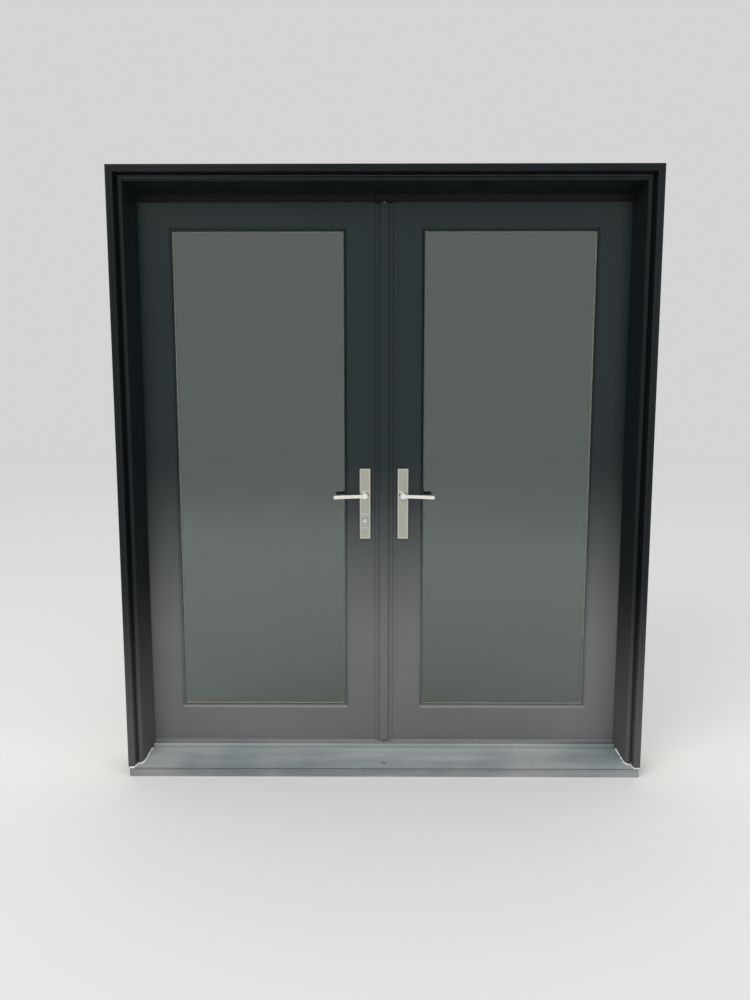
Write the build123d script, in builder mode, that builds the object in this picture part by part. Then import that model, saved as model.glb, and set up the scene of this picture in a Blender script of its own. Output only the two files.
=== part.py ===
from build123d import *
from math import sqrt
import os

# An inswing pair of clad-wood french doors in their frame.
# X runs to the right as seen from outside, Y into the house, Z up.
# The origin is under the middle of the sill, in the plane of the exterior casings.
# The left leaf is the active one. The right leaf is passive and carries the astragal.
# Sizes are in millimetres. A side is -1 for the left half and +1 for the right half.

ACTIVE = -1
PASSIVE = 1

# Frame
frame_width = 1810
frame_height = 2075
frame_depth = 165
casing_width = 64  # exterior casing, outer edge to the reveal at the stop
casing_depth = 37  # from the casing's front to the jamb behind it
casing_wall = 1.8  # wall of the hollow casing extrusion
lip_width = 3  # thin lip along the casing's outer edge
lip_setback = 1.5
band_width = 20  # flat band next to the lip, in two steps
band_step = 1.2
cove_depth = 30  # hollow between the band and the bead
cove_slant = 1
bead_radius = 10  # round-fronted bead beside the reveal
bead_setback = 18  # bead's front behind the band's
bead_edge = 48  # casing's outer edge to the bead's end, where the splayed reveal starts
reveal_skin = 2  # exterior skin on the stop of the jamb
jamb_thickness = 41
seal_room = 6.5  # between the stop of the jamb and a closed leaf

# Sill and threshold
sill_height = 27.5  # nosing at the front
sill_rise = 34.5  # rise of the slope from the nosing to the threshold
sill_nose = 6  # how far the nosing stands in front of the casings
sill_inset = 7  # how far each end of the sill stays inside the frame's width
sill_step = 2  # flat between the slope and the threshold
sill_wall = 2.2
nose_radius = 1.5
drip_height = 3  # groove along the front of the nosing
drip_depth = 1.2
drip_below_nose = 4
weep_length = 16  # drain slot in the slope
weep_width = 5
weep_place = 23
threshold_depth = 75
threshold_height = 14
threshold_radius = 7
ridge_depth = 9  # rounded ridge along the threshold's front
channel_depth = 8  # between the ridge and the rail
rail_lead = 2.5  # how far the rail starts in front of the leaves
threshold_wall = 2.2
rib_thickness = 2.2
rib_count = 3

# Seals
seal_gap = 0.3  # clearance between a seal and the surface that it meets
head_seal_drop = 22  # how far the head weatherstrip hangs below the reveal
bulb_width = 8
bulb_inset = 1  # from the reveal to the bulb
seal_lip = 2  # slanted lip at the bottom of the head weatherstrip
seal_heel = 1.5
bead_size = 5  # legs of the sealant bead

# Leaves
leaf_thickness = 44.5
leaf_setback = 2  # interior face of the leaf behind the interior edge of the jamb
edge_gap = 3  # between a leaf and the rabbet of the frame
meeting_gap = 5  # between the two leaves
floor_gap = 9  # between the leaf's bottom and the threshold
sweep_thickness = 3
sweep_lip_root = 5
sweep_lip_tip = 2.5
sweep_lip_spacing = 27
meeting_stile = 134
hinge_stile = 131
top_rail = 135
bottom_rail = 127
clad_wall = 1.6
sight_bevel = 8  # bevel round the glass opening
seam = 0.2  # open joint between two lengths of cladding
tenon_length = 45
tenon_thickness = 12
tenon_height = 80
tenon_clearance = 0.15

# Glazing
glass_setback = 9.5  # from the leaf's face to the outer pane
pane_thickness = 3.1
pane_gap = 12.8
pane_cover = 12  # how far a pane runs in behind the sightline
pane_clearance = 2
spacer_inset = 3
spacer_width = 12.5
gasket_width = 2
gasket_depth = 4.5
stop_chamfer = 8
mitre_kerf = 0.3

# Hinges
hinge_height = 100
hinge_plate = 2.5
hinge_plate_depth = 35
knuckle_radius = 6.5
knuckle_count = 5
knuckle_gap = 0.4
pin_radius = 3
pin_clearance = 0.05
pin_tip_radius = 4.2
pin_standoff = 7  # pin's axis in front of the interior edge of the jamb
hinge_inset = 195  # top and bottom hinge centres from the leaf's ends
hinges_per_leaf = 3

# Handles, at a distance from the meeting line
backset = 67
spindle_height = 989
plate_width = 38
plate_above = 93  # plate's top above the spindle
plate_below = 157  # plate's bottom below the spindle
plate_thickness = 8
plate_rim = 5
plate_round = 2
plate_chamfer = 1
field_round = 1.5
field_depth = 0.8
collar_radius = 14.5
collar_height = 3.5
band_round_spindle = 15  # half height of the raised band behind the collar
cylinder_drop = 93  # cylinder's axis below the spindle
cylinder_radius = 8.5
cylinder_proud = 1  # how far the cylinder stands out of the plate
cylinder_chamfer = 1
cylinder_field = 21.5  # half height of the recess round the cylinder
cylinder_field_depth = 2.5
plug_radius = 6
keyway_width = 1.6
keyway_height = 8
keyway_depth = 8
hub_radius = 12.5
hub_flange = 1  # how much wider the hub is where it meets the collar
hub_flange_end = 6
hub_waist = 2  # how much slimmer the hub is at its waist
hub_waist_end = 14
hub_chamfer = 3
lever_gap = 0.3
lever_length = 108
lever_standoff = 56  # middle of the arm from the leaf's face
lever_droop = 4
arm_height_root = 12
arm_height_tip = 13
arm_depth = 10
arm_depth_tip = 8
arm_round = 2
tip_round = 1.5
spindle_size = 8
spindle_reach = 44
spindle_clearance = 0.1
bore_clearance = 0.5
turn_shaft_radius = 4
turn_disc_radius = 11
turn_disc_height = 4
turn_length = 30
turn_width = 9
turn_height = 16
turn_round = 2

# Lock and bolts
case_thickness = 18.5
case_depth = 89
case_above_spindle = 70
case_below_cylinder = 34
case_clearance = 0.5
case_corner = 4
faceplate_thickness = 2.5
faceplate_width = 22
faceplate_overhang = 20
latch_width = 10
latch_height = 20
latch_reach = 7  # how far the latch stands past the meeting line
latch_length = 52
latch_bevel = 6
latch_nose = 2  # flat tip of the latch
latch_travel = 12
bolt_width = 12
bolt_height = 24
bolt_length = 46
bolt_chamfer = 1
bolt_throw = 20
tail_room = 3  # behind a bolt that is drawn back
slide_clearance = 0.4
strike_width = 32
strike_room = 12  # room for the latch towards the interior as the leaves part
pocket_depth = 20  # from the meeting line
rod_radius = 5
rod_place = 32  # distance of the shoot bolts from the meeting line
rod_clearance = 0.5
rod_engagement = 25
rod_throw = 18
rod_inset = 1
rod_chamfer = 1.5
strike_cup_radius = 9
strike_plate_length = 44
gear_room = 3.5  # between the thrown deadbolt and the gear case

# Astragal, on the passive leaf's face
astragal_width = 62
astragal_flange = 3.2
astragal_band = 29
astragal_depth = 11.5
astragal_bottom_gap = 1
astragal_chamfer = 1.2
pad_depth = 8
pad_gap = 2
pad_round = 2

# Screw holes for fixing the frame in the wall
screw_hole_radius = 2.75
screw_head_radius = 5.5
screw_low = 400
screw_high = 1700

# Sizes worked out from the ones above
half_width = frame_width / 2
reveal_x = half_width - casing_width
reveal_z = frame_height - casing_width
rabbet_x = half_width - jamb_thickness
rabbet_z = frame_height - jamb_thickness
sill_top = sill_height + sill_rise
threshold_top = sill_top + threshold_height
leaf_back = frame_depth - leaf_setback
leaf_front = leaf_back - leaf_thickness
leaf_middle = (leaf_front + leaf_back) / 2
stop_depth = leaf_front - seal_room
threshold_front = frame_depth - threshold_depth
sill_slope_end = threshold_front - sill_step
sill_grade = sill_rise / (sill_slope_end + sill_nose)
rail_front = leaf_front - rail_lead
leaf_near = meeting_gap / 2
leaf_far = rabbet_x - edge_gap
leaf_low = threshold_top + floor_gap
leaf_high = rabbet_z - edge_gap
sight_near = leaf_near + meeting_stile
sight_far = leaf_far - hinge_stile
sight_low = leaf_low + bottom_rail
sight_high = leaf_high - top_rail
glass_front = leaf_front + glass_setback
glass_back = glass_front + 2 * pane_thickness + pane_gap
glazing_rabbet = pane_cover + pane_clearance
seal_bottom = reveal_z - head_seal_drop
pin_x = rabbet_x - edge_gap / 2
pin_y = frame_depth + pin_standoff
cylinder_height = spindle_height - cylinder_drop
case_bottom = cylinder_height - case_below_cylinder
case_top = spindle_height + case_above_spindle
astragal_top = seal_bottom - seal_lip - 2 * pad_gap
half_diagonal = spindle_size / sqrt(2)


def hinge_heights():
    """Heights of the hinge centres, evenly spaced between the end ones."""
    low = leaf_low + hinge_inset
    high = leaf_high - hinge_inset
    step = (high - low) / (hinges_per_leaf - 1)
    return [low + i * step for i in range(hinges_per_leaf)]


def upright(y):
    """A drawing plane seen from outside, X to the right and Z up, at depth y. It extrudes towards -Y."""
    return Plane.XZ.offset(-y)


def off_face(inside, distance):
    """Depth of a point that stands off the leaf's exterior or interior face."""
    return leaf_back + distance if inside else leaf_front - distance


def outward(inside):
    """Sign of an extrusion from an upright plane that leads away from the leaf."""
    return -1 if inside else 1


def panel(side, near, far, low, high, mode=Mode.ADD):
    """A rectangle between two distances from the meeting line and two heights."""
    with Locations((side * (near + far) / 2, (low + high) / 2)):
        Rectangle(far - near, high - low, mode=mode)


def slab(side, near, far, front, back, low, high, mode=Mode.ADD):
    """A block between two distances from the meeting line, two depths and two heights."""
    with Locations((side * (near + far) / 2, (front + back) / 2, (low + high) / 2)):
        Box(far - near, back - front, high - low, mode=mode)


def along_y(x, z, radius, front, back, mode=Mode.ADD):
    """A round bar or hole along Y."""
    with Locations(Location((x, (front + back) / 2, z), (90, 0, 0))):
        Cylinder(radius, back - front, mode=mode)


def along_z(x, y, radius, low, high, mode=Mode.ADD):
    """A round bar or hole along Z."""
    with Locations((x, y, (low + high) / 2)):
        Cylinder(radius, high - low, mode=mode)


def keep(piece, name):
    """Label a finished piece and write it to its own file."""
    piece.part.label = name
    export_step(piece.part, f"parts/{name}.step")


# Sill

def sill_outline():
    """The closed outline of the sill, with Y to the right and Z up."""
    with BuildSketch() as outline:
        with BuildLine():
            Polyline(
                (-sill_nose, 0),
                (-sill_nose, sill_height),
                (sill_slope_end, sill_top),
                (frame_depth, sill_top),
                (frame_depth, 0),
                close=True,
            )
        make_face()
    return outline.sketch


def cut_on_sill():
    """Cut the foot of an upright piece to the top of the sill."""
    extrude(Plane.YZ * sill_outline(), amount=frame_width, both=True, mode=Mode.SUBTRACT)


def make_sill():
    half_length = half_width - sill_inset
    with BuildPart() as sill:
        with BuildSketch(Plane.YZ) as section:
            add(sill_outline())
            nose = section.vertices().group_by(Axis.X)[0].sort_by(Axis.Y)[-1]
            fillet(nose, nose_radius)
        extrude(amount=half_length, both=True)
        # Hollow chambers with upright ribs between them
        with BuildSketch(Plane.YZ):
            add(sill_outline())
            offset(amount=-sill_wall, mode=Mode.REPLACE)
            rib_places = [frame_depth * (i + 1) / (rib_count + 1) for i in range(rib_count)]
            with Locations([(y, sill_top / 2) for y in rib_places]):
                Rectangle(rib_thickness, sill_top, mode=Mode.SUBTRACT)
        extrude(amount=half_length, both=True, mode=Mode.SUBTRACT)
        # Drip groove along the nosing
        with Locations((0, drip_depth / 2 - sill_nose, sill_height - drip_below_nose)):
            Box(2 * half_length, drip_depth, drip_height, mode=Mode.SUBTRACT)
        # Drain slot through the wall of the slope
        slope_height = sill_height + sill_grade * (sill_nose + weep_place)
        with Locations((0, weep_place, slope_height)):
            Box(weep_length, weep_width, 4 * sill_wall, mode=Mode.SUBTRACT)
    keep(sill, "sill")


def make_threshold():
    narrow = reveal_x - seal_gap
    wide = rabbet_x - seal_gap
    with BuildPart() as threshold:
        with BuildSketch(Plane.YZ):
            with BuildLine():
                top = threshold_top
                round_low = top - threshold_radius
                round_back = threshold_front + threshold_radius
                ridge_back = threshold_front + ridge_depth
                channel = top - channel_depth
                Line((threshold_front, sill_top), (threshold_front, round_low))
                RadiusArc((threshold_front, round_low), (round_back, top), threshold_radius)
                Polyline(
                    (round_back, top),
                    (ridge_back, top),
                    (ridge_back, channel),
                    (rail_front, channel),
                    (rail_front, top),
                    (frame_depth, top),
                    (frame_depth, sill_top),
                    (threshold_front, sill_top),
                )
            make_face()
            offset(amount=-threshold_wall, mode=Mode.SUBTRACT)
        extrude(amount=wide, both=True)
        for side in (ACTIVE, PASSIVE):
            slab(
                side, narrow, wide, threshold_front, stop_depth + seal_gap, sill_top, top,
                mode=Mode.SUBTRACT,
            )
        along_z(
            rod_place, leaf_middle, strike_cup_radius + pin_clearance, top - threshold_wall, top,
            mode=Mode.SUBTRACT,
        )
    keep(threshold, "threshold")


def make_sealant():
    """A bead round the foot of each casing and back along the corner of reveal and sill."""
    height = frame_height / 2
    with BuildPart() as beads:
        for side in (ACTIVE, PASSIVE):
            place = side_place(side)
            band_end = lip_width + band_width
            bead_side = bead_setback + bead_radius
            reveal_end = splay(threshold_front)
            with BuildSketch():
                with BuildLine():
                    Polyline(
                        # Along the casing and the reveal
                        place(sill_inset, 0),
                        place(band_end, 0),
                        place(band_end, bead_side),
                        place(bead_edge, bead_side),
                        place(reveal_end, threshold_front),
                        # Back along the bead's free side
                        place(reveal_end + bead_size, threshold_front),
                        place(bead_edge + bead_size, bead_side - bead_size),
                        place(bead_edge - bead_radius, bead_setback - bead_size),
                        place(band_end, -bead_size),
                        place(sill_inset, -bead_size),
                        close=True,
                    )
                make_face()
                add(casing_outline(place), mode=Mode.SUBTRACT)
            extrude(amount=height)
        # Only a low bead on top of the sill is kept
        with BuildSketch(Plane.YZ):
            with BuildLine():
                Polyline(
                    (-sill_nose, sill_height),
                    (sill_slope_end, sill_top),
                    (sill_slope_end, sill_top + bead_size),
                    (-sill_nose, sill_height + bead_size),
                    close=True,
                )
            make_face()
        extrude(amount=half_width, both=True, mode=Mode.INTERSECT)
    keep(beads, "sealant_beads")


# Casings and jambs

def splay(depth):
    """Distance from the casing's outer edge to the splayed reveal at a depth between bead and stop."""
    start = bead_setback + bead_radius
    return bead_edge + (casing_width - bead_edge) * (depth - start) / (stop_depth - start)


def casing_outline(place):
    """The casing's outline: lip, stepped band, cove, bead and the start of the reveal.

    It is drawn through place(distance from the outer edge, depth).
    """
    step = lip_width + (band_width - lip_width) / 2
    band_end = lip_width + band_width
    bead_start = bead_edge - 2 * bead_radius
    bead_side = bead_setback + bead_radius
    with BuildSketch() as outline:
        with BuildLine():
            Polyline(
                place(0, casing_depth),
                place(0, lip_setback),
                place(lip_width, lip_setback),
                place(lip_width, 0),
                place(step, 0),
                place(step, band_step),
                place(band_end, band_step),
                place(band_end + cove_slant, cove_depth),
                place(bead_start, cove_depth),
                place(bead_start, bead_side),
            )
            ThreePointArc(
                place(bead_start, bead_side),
                place(bead_start + bead_radius, bead_setback),
                place(bead_edge, bead_side),
            )
            Polyline(
                place(bead_edge, bead_side),
                place(splay(casing_depth), casing_depth),
                place(0, casing_depth),
            )
        make_face()
    return outline.sketch


def casing_section(place):
    """The hollow section of the casing with the skin of the splayed stop behind it."""
    with BuildSketch() as section:
        add(casing_outline(place))
        offset(amount=-casing_wall, mode=Mode.SUBTRACT)
        with BuildLine():
            Polyline(
                place(splay(casing_depth) - reveal_skin, casing_depth),
                place(splay(casing_depth), casing_depth),
                place(casing_width, stop_depth),
                place(casing_width - reveal_skin, stop_depth),
                close=True,
            )
        make_face()
    return section.sketch


def jamb_section(place):
    """The pine section behind the casing: a flat jamb with the stop that the leaves close against."""
    with BuildSketch() as section:
        with BuildLine():
            Polyline(
                place(0, casing_depth),
                place(splay(casing_depth) - reveal_skin, casing_depth),
                place(casing_width - reveal_skin, stop_depth),
                place(jamb_thickness, stop_depth),
                place(jamb_thickness, frame_depth),
                place(0, frame_depth),
                close=True,
            )
        make_face()
    return section.sketch


def side_place(side):
    """Section coordinates of a side jamb or casing, in the XY plane."""
    return lambda inward, depth: (side * (half_width - inward), depth)


def head_place(inward, depth):
    """Section coordinates of the head, in the YZ plane."""
    return (depth, frame_height - inward)


def mitre(side, part_is_below):
    """The mitre plane at a top corner of the frame."""
    way = 1 if part_is_below else -1
    return Plane(origin=(side * half_width, 0, frame_height), z_dir=(way * side, 0, -way))


def make_casings():
    for side, name in ((ACTIVE, "left_casing"), (PASSIVE, "right_casing")):
        with BuildPart() as casing:
            extrude(casing_section(side_place(side)), amount=frame_height)
            split(bisect_by=mitre(side, True), keep=Keep.TOP)
            cut_on_sill()
        keep(casing, name)
    with BuildPart() as head:
        extrude(Plane.YZ * casing_section(head_place), amount=half_width, both=True)
        for side in (ACTIVE, PASSIVE):
            split(bisect_by=mitre(side, False), keep=Keep.TOP)
    keep(head, "head_casing")


def make_jambs():
    for side, name in ((ACTIVE, "left_jamb"), (PASSIVE, "right_jamb")):
        with BuildPart() as jamb:
            extrude(jamb_section(side_place(side)), amount=frame_height)
            # The stop ends under the head's stop
            slab(
                side, rabbet_x - casing_width, rabbet_x, 0, stop_depth, rabbet_z, frame_height,
                mode=Mode.SUBTRACT,
            )
            cut_on_sill()
            for height in hinge_heights():
                low = height - hinge_height / 2
                front = frame_depth - hinge_plate_depth
                slab(
                    side, rabbet_x, rabbet_x + hinge_plate, front, frame_depth, low, low + hinge_height,
                    mode=Mode.SUBTRACT,
                )
            with Locations(
                *[
                    Location((side * rabbet_x, leaf_middle, height), (0, -90 * side, 0))
                    for height in (screw_low, screw_high)
                ]
            ):
                CounterSinkHole(screw_hole_radius, screw_head_radius, depth=jamb_thickness)
        keep(jamb, name)
    with BuildPart() as head:
        extrude(Plane.YZ * jamb_section(head_place), amount=rabbet_x, both=True)
        stop_end = reveal_x + reveal_skin
        for side in (ACTIVE, PASSIVE):
            slab(side, stop_end, rabbet_x, 0, stop_depth, reveal_z, rabbet_z, mode=Mode.SUBTRACT)
        # Seat of the strike and the hole behind it
        slab(
            PASSIVE, rod_place - strike_plate_length / 2, rod_place + strike_plate_length / 2,
            leaf_middle - faceplate_width / 2, leaf_middle + faceplate_width / 2,
            rabbet_z, rabbet_z + faceplate_thickness, mode=Mode.SUBTRACT,
        )
        along_z(
            rod_place, leaf_middle, rod_radius + 2 * rod_clearance, rabbet_z, rabbet_z + rod_throw,
            mode=Mode.SUBTRACT,
        )
    keep(head, "head_jamb")


def make_seals():
    seal_back = leaf_front - seal_gap
    with BuildPart() as head_seal:
        with BuildSketch(Plane.YZ):
            with BuildLine():
                Polyline(
                    (stop_depth, rabbet_z - edge_gap),
                    (seal_back, rabbet_z - edge_gap),
                    (seal_back, seal_bottom),
                    (seal_back - seal_lip, seal_bottom - seal_lip),
                    (stop_depth + seal_heel, seal_bottom),
                    (stop_depth, reveal_z),
                    close=True,
                )
            make_face()
        extrude(amount=reveal_x, both=True)
    keep(head_seal, "head_weatherstrip")
    with BuildPart() as jamb_seals:
        for side in (ACTIVE, PASSIVE):
            near = reveal_x + bulb_inset
            middle = (stop_depth + seal_back) / 2
            radius = (seal_back - stop_depth) / 2
            with BuildSketch(Plane.XY.offset(threshold_top)):
                with Locations((side * (near + bulb_width / 2), middle)):
                    SlotOverall(bulb_width, 2 * radius)
                with Locations((side * (near + bulb_width / 2), stop_depth + radius / 2)):
                    Rectangle(bulb_width / 2, radius)
            extrude(amount=rabbet_z - edge_gap - threshold_top)
    keep(jamb_seals, "jamb_weatherstrips")
    with BuildPart() as pad:
        half = astragal_width / 2
        with BuildSketch(upright(stop_depth)):
            panel(PASSIVE, -half, half, astragal_top + pad_gap, reveal_z)
        extrude(amount=pad_depth)
        fillet(pad.edges().filter_by(Axis.Z), pad_round)
    keep(pad, "astragal_pad")


# Hinges and strikes

def knuckle_ranges(height, own):
    """Lowest and highest point of each knuckle of one hinge half."""
    pitch = hinge_height / knuckle_count
    base = height - hinge_height / 2
    return [(base + i * pitch, base + (i + 1) * pitch) for i in own]


def hinge_half(side, height, plate_near, plate_back, own, other):
    """A hinge plate with its own knuckles, cut back round the other half's knuckles."""
    x = side * pin_x
    low = height - hinge_height / 2
    slab(side, plate_near, plate_near + hinge_plate, plate_back, pin_y, low, low + hinge_height)
    for start, end in knuckle_ranges(height, other):
        gap = knuckle_gap / 2
        along_z(x, pin_y, knuckle_radius + knuckle_gap, start - gap, end + gap, mode=Mode.SUBTRACT)
    for start, end in knuckle_ranges(height, own):
        gap = knuckle_gap / 2
        along_z(x, pin_y, knuckle_radius, start + gap, end - gap)
    along_z(x, pin_y, pin_radius + pin_clearance, low, low + hinge_height, mode=Mode.SUBTRACT)


def make_hinges():
    odd = range(0, knuckle_count, 2)
    even = range(1, knuckle_count, 2)
    plate_back = frame_depth - hinge_plate_depth
    with BuildPart() as frame_plates:
        for side in (ACTIVE, PASSIVE):
            for height in hinge_heights():
                hinge_half(side, height, rabbet_x, plate_back, odd, even)
    keep(frame_plates, "frame_hinge_plates")
    for side, name in ((ACTIVE, "active_hinge_plates"), (PASSIVE, "passive_hinge_plates")):
        with BuildPart() as plates:
            for height in hinge_heights():
                hinge_half(side, height, leaf_far - hinge_plate, plate_back, even, odd)
        keep(plates, name)
    with BuildPart() as pins:
        for side in (ACTIVE, PASSIVE):
            for height in hinge_heights():
                low = height - hinge_height / 2
                x = side * pin_x
                along_z(x, pin_y, pin_radius, low, low + hinge_height)
                centred = Align.CENTER
                with Locations((x, pin_y, low)):
                    Sphere(pin_tip_radius, arc_size2=0, align=(centred, centred, Align.MAX))
                with Locations((x, pin_y, low + hinge_height)):
                    Sphere(pin_tip_radius, arc_size1=0, align=(centred, centred, Align.MIN))
    keep(pins, "hinge_pins")


def make_bolt_strikes():
    hole = rod_radius + rod_clearance
    with BuildPart() as head_strike:
        slab(
            PASSIVE, rod_place - strike_plate_length / 2, rod_place + strike_plate_length / 2,
            leaf_middle - faceplate_width / 2, leaf_middle + faceplate_width / 2,
            rabbet_z, rabbet_z + faceplate_thickness,
        )
        along_z(rod_place, leaf_middle, hole, rabbet_z, rabbet_z + faceplate_thickness, mode=Mode.SUBTRACT)
    keep(head_strike, "head_strike")
    with BuildPart() as sill_strike:
        along_z(rod_place, leaf_middle, strike_cup_radius, sill_top + threshold_wall, threshold_top)
        along_z(rod_place, leaf_middle, hole, sill_top + threshold_wall, threshold_top, mode=Mode.SUBTRACT)
    keep(sill_strike, "sill_strike")


# Leaves

def front_ring(side, grow, face, bevel):
    """The exterior layer of a leaf round its glass opening, bevelled towards the glass."""
    with BuildPart() as ring:
        with BuildSketch(upright(face)):
            panel(side, leaf_near, leaf_far, leaf_low, leaf_high)
            panel(
                side, sight_near - grow, sight_far + grow, sight_low - grow, sight_high + grow,
                mode=Mode.SUBTRACT,
            )
        extrude(amount=face - glass_front)
        front = ring.faces().filter_by(Axis.Y).sort_by(Axis.Y)[0]
        chamfer(front.inner_wires()[0].edges(), bevel)
    return ring.part


def core_front(side):
    """The pine right behind the cladding, so that both share one bevel."""
    inner_bevel = sight_bevel - clad_wall * (2 - sqrt(2))
    return front_ring(side, clad_wall, leaf_front + clad_wall, inner_bevel)


def handle_bores(side, radius, back):
    """Holes for the spindle and, in the active leaf, the key cylinder."""
    along_y(side * backset, spindle_height, radius, leaf_front, back, mode=Mode.SUBTRACT)
    if side == ACTIVE:
        cylinder_hole = cylinder_radius + bore_clearance
        along_y(side * backset, cylinder_height, cylinder_hole, leaf_front, back, mode=Mode.SUBTRACT)


def make_cladding(side, leaf):
    spindle_hole = half_diagonal + 2 * bore_clearance
    with BuildPart() as skin:
        add(front_ring(side, 0, leaf_front, sight_bevel))
        add(core_front(side), mode=Mode.SUBTRACT)
        # Upright seams between stiles and rails, above and below the glass
        with BuildSketch(upright(leaf_front)):
            for place in (sight_near, sight_far - seam):
                panel(side, place, place + seam, leaf_low, sight_low)
                panel(side, place, place + seam, sight_high, leaf_high)
        extrude(amount=leaf_front - glass_front, mode=Mode.SUBTRACT)
        handle_bores(side, spindle_hole, glass_front)
    keep(skin, f"{leaf}_cladding")


def tenons(side, middle, grow, mode=Mode.ADD):
    """The tenons at both ends of a rail, or with a clearance their mortises."""
    half = tenon_height / 2 + grow
    for near, far in ((sight_near - tenon_length, sight_near), (sight_far, sight_far + tenon_length)):
        outer_near = near - grow if near < sight_near else near
        outer_far = far + grow if far > sight_far else far
        slab(
            side, outer_near, outer_far,
            glass_back - tenon_thickness - grow, glass_back + grow,
            middle - half, middle + half, mode=mode,
        )


def make_core(side, leaf):
    """The four pine members: full-height stiles with the rails tenoned between them."""
    with BuildPart() as ring:
        add(core_front(side))
        with BuildSketch(upright(glass_front)):
            panel(side, leaf_near, leaf_far, leaf_low, leaf_high)
            panel(
                side, sight_near - glazing_rabbet, sight_far + glazing_rabbet,
                sight_low - glazing_rabbet, sight_high + glazing_rabbet, mode=Mode.SUBTRACT,
            )
        extrude(amount=glass_front - leaf_back)
    rail_middles = {
        "top_rail": (sight_high + glazing_rabbet + leaf_high) / 2,
        "bottom_rail": (leaf_low + sight_low - glazing_rabbet) / 2,
    }
    for name, low, high in (
        ("top_rail", sight_high, leaf_high),
        ("bottom_rail", leaf_low, sight_low),
    ):
        with BuildPart() as rail:
            add(ring.part)
            slab(side, sight_near, sight_far, leaf_front, leaf_back, low, high, mode=Mode.INTERSECT)
            tenons(side, rail_middles[name], 0)
        keep(rail, f"{leaf}_{name}")
    with BuildPart() as hinge:
        add(ring.part)
        slab(side, sight_far, leaf_far, leaf_front, leaf_back, leaf_low, leaf_high, mode=Mode.INTERSECT)
        for middle in rail_middles.values():
            tenons(side, middle, tenon_clearance, mode=Mode.SUBTRACT)
        for height in hinge_heights():
            low = height - hinge_height / 2
            slab(
                side, leaf_far - hinge_plate, leaf_far, frame_depth - hinge_plate_depth, leaf_back,
                low, low + hinge_height, mode=Mode.SUBTRACT,
            )
    keep(hinge, f"{leaf}_hinge_stile")
    with BuildPart() as meeting:
        add(ring.part)
        slab(side, leaf_near, sight_near, leaf_front, leaf_back, leaf_low, leaf_high, mode=Mode.INTERSECT)
        for middle in rail_middles.values():
            tenons(side, middle, tenon_clearance, mode=Mode.SUBTRACT)
        cut_lock_mortise(side)
        handle_bores(side, half_diagonal + 2 * bore_clearance, leaf_back)
    keep(meeting, f"{leaf}_meeting_stile")


def cut_lock_mortise(side):
    """The mortise for the lock or gear case, the seat of its edge plate and the bores of the bolts."""
    plate_back = leaf_near + faceplate_thickness
    half = case_thickness / 2 + case_clearance
    depth = plate_back + case_depth + case_clearance
    low = case_bottom - case_clearance
    high = case_top + case_clearance
    slab(side, plate_back, depth, leaf_middle - half, leaf_middle + half, low, high, mode=Mode.SUBTRACT)
    front, back = edge_plate_depths(side)
    ends = (case_bottom - faceplate_overhang, case_top + faceplate_overhang)
    slab(side, leaf_near, plate_back, front, back, *ends, mode=Mode.SUBTRACT)
    if side == PASSIVE:
        latch_half = latch_height / 2 + 2 * slide_clearance
        slab(
            side, plate_back, pocket_depth, leaf_middle, leaf_middle + latch_width / 2 + strike_room,
            spindle_height - latch_half, spindle_height + latch_half, mode=Mode.SUBTRACT,
        )
        bore = rod_radius + rod_clearance
        along_z(side * rod_place, leaf_middle, bore, leaf_low, leaf_high, mode=Mode.SUBTRACT)


def edge_plate_depths(side):
    """Front and back of the plate on a meeting edge. The strike is wider, towards the interior."""
    front = leaf_middle - faceplate_width / 2
    back = front + strike_width if side == PASSIVE else front + faceplate_width
    return front, back


def make_glazing(side, leaf):
    cover = pane_cover
    inner = glass_front + pane_thickness
    with BuildPart() as panes:
        for y in (glass_front, inner + pane_gap):
            with BuildSketch(upright(y)):
                panel(side, sight_near - cover, sight_far + cover, sight_low - cover, sight_high + cover)
            extrude(amount=-pane_thickness)
    keep(panes, f"{leaf}_glass")
    with BuildPart() as spacer:
        rim = cover - spacer_inset
        hole = rim - spacer_width
        with BuildSketch(upright(inner)):
            panel(side, sight_near - rim, sight_far + rim, sight_low - rim, sight_high + rim)
            panel(
                side, sight_near - hole, sight_far + hole, sight_low - hole, sight_high + hole,
                mode=Mode.SUBTRACT,
            )
        extrude(amount=-pane_gap)
    keep(spacer, f"{leaf}_glass_spacer")
    with BuildPart() as gasket:
        with BuildSketch(upright(glass_front)):
            panel(side, sight_near, sight_far, sight_low, sight_high)
            panel(
                side, sight_near + gasket_width, sight_far - gasket_width,
                sight_low + gasket_width, sight_high - gasket_width, mode=Mode.SUBTRACT,
            )
        extrude(amount=gasket_depth)
    keep(gasket, f"{leaf}_glazing_gasket")
    make_glazing_stops(side, leaf)


def make_glazing_stops(side, leaf):
    """Four mitred pine stops that hold the glass from inside."""
    rabbet = glazing_rabbet
    kerf_length = 2 * sqrt(2) * (glazing_rabbet + pane_cover)
    with BuildPart() as stops:
        with BuildSketch(upright(glass_back)):
            panel(side, sight_near - rabbet, sight_far + rabbet, sight_low - rabbet, sight_high + rabbet)
            panel(side, sight_near, sight_far, sight_low, sight_high, mode=Mode.SUBTRACT)
        extrude(amount=glass_back - leaf_back)
        back = stops.faces().filter_by(Axis.Y).sort_by(Axis.Y)[-1]
        chamfer(back.inner_wires()[0].edges(), stop_chamfer)
        with BuildSketch(upright(glass_back)):
            for place, lean in ((sight_near, 1), (sight_far, -1)):
                for height, turn in ((sight_low, 1), (sight_high, -1)):
                    with Locations(Location((side * place, height), side * lean * turn * 45)):
                        Rectangle(kerf_length, mitre_kerf)
        extrude(amount=glass_back - leaf_back, mode=Mode.SUBTRACT)
    keep(stops, f"{leaf}_glazing_stops")


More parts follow.
